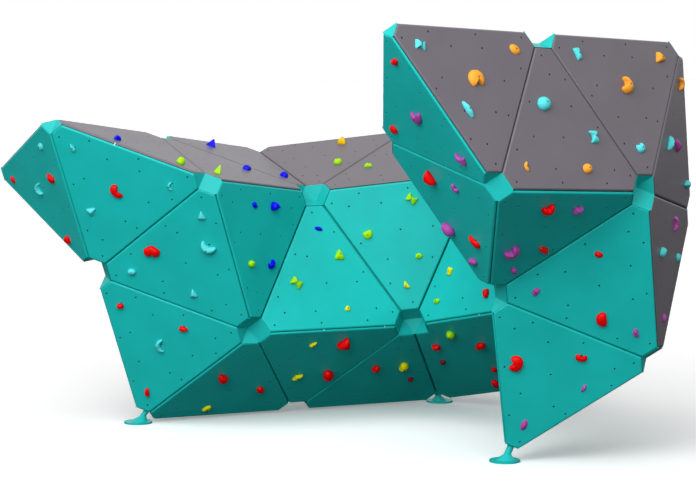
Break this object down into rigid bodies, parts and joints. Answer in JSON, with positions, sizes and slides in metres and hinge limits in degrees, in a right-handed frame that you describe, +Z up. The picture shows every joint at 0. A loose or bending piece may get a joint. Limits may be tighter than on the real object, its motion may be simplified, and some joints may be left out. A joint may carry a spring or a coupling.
{
  "type": "free-standing climbing wall",
  "caption": "Free-standing faceted playground climbing wall: corner-cut triangular panels over a welded frame, with recessed corner cups and three feet.",
  "frame": {"origin": "centre of the wall's plan bounding box, on the floor", "axes": "+X along the front base line from the left foot to the middle foot, +Y from the front foot to the back, +Z up"},
  "size_m": [4.091, 4.2846, 2.8134],
  "materials": {
    "teal_panel": "satin teal moulded sheet",
    "grey_panel": "satin grey moulded sheet",
    "frame_coating": "glossy teal powder coating"
  },
  "bodies": {
    "root": {"left_wing_panel": "teal_panel", "left_front_panel_1": "teal_panel", "left_front_panel_2": "teal_panel", "left_front_panel_3": "teal_panel", "left_return_panel": "teal_panel", "base_front_panel_1": "teal_panel", "base_front_panel_2": "teal_panel", "base_front_panel_3": "teal_panel", "middle_slab_panel": "teal_panel", "middle_return_panel": "teal_panel", "link_front_panel": "teal_panel", "link_rhombus_panel": "teal_panel", "left_roof_panel_1": "grey_panel", "left_roof_panel_2": "grey_panel", "left_roof_panel_3": "grey_panel", "middle_roof_panel_1": "grey_panel", "middle_roof_panel_2": "grey_panel", "tall_front_panel_1": "grey_panel", "tall_front_panel_2": "grey_panel", "tall_front_panel_3": "grey_panel", "tall_side_panel_1": "grey_panel", "tall_side_panel_2": "grey_panel", "tall_overhang_panel": "teal_panel", "tall_lower_panel_1": "teal_panel", "tall_lower_panel_2": "teal_panel", "tall_left_panel_1": "teal_panel", "tall_left_panel_2": "teal_panel", "wing_top_panel": "grey_panel", "wing_back_panel": "grey_panel", "left_back_panel_1": "grey_panel", "left_back_panel_2": "grey_panel", "left_back_low_panel": "teal_panel", "base_back_panel_1": "teal_panel", "base_back_panel_2": "teal_panel", "base_back_panel_3": "teal_panel", "middle_back_panel_1": "grey_panel", "middle_back_panel_2": "grey_panel", "right_back_panel_1": "grey_panel", "right_back_panel_2": "grey_panel", "right_back_panel_3": "grey_panel", "right_back_low_panel": "teal_panel", "link_back_rhombus_panel": "teal_panel", "link_inner_panel_1": "teal_panel", "link_inner_panel_2": "teal_panel", "link_inner_panel_3": "teal_panel", "tall_back_panel_1": "grey_panel", "tall_back_panel_2": "grey_panel", "tall_back_panel_3": "grey_panel", "tall_back_panel_4": "grey_panel", "tall_back_panel_5": "grey_panel", "tall_top_panel_1": "grey_panel", "tall_top_panel_2": "grey_panel", "tall_top_panel_3": "grey_panel", "tall_inner_panel": "teal_panel", "leg_inner_rhombus_panel": "teal_panel", "leg_side_rhombus_panel": "teal_panel", "cup_and_tube_frame": "frame_coating", "left_foot": "frame_coating", "middle_foot": "frame_coating", "front_foot": "frame_coating"}
  },
  "joints": []
}
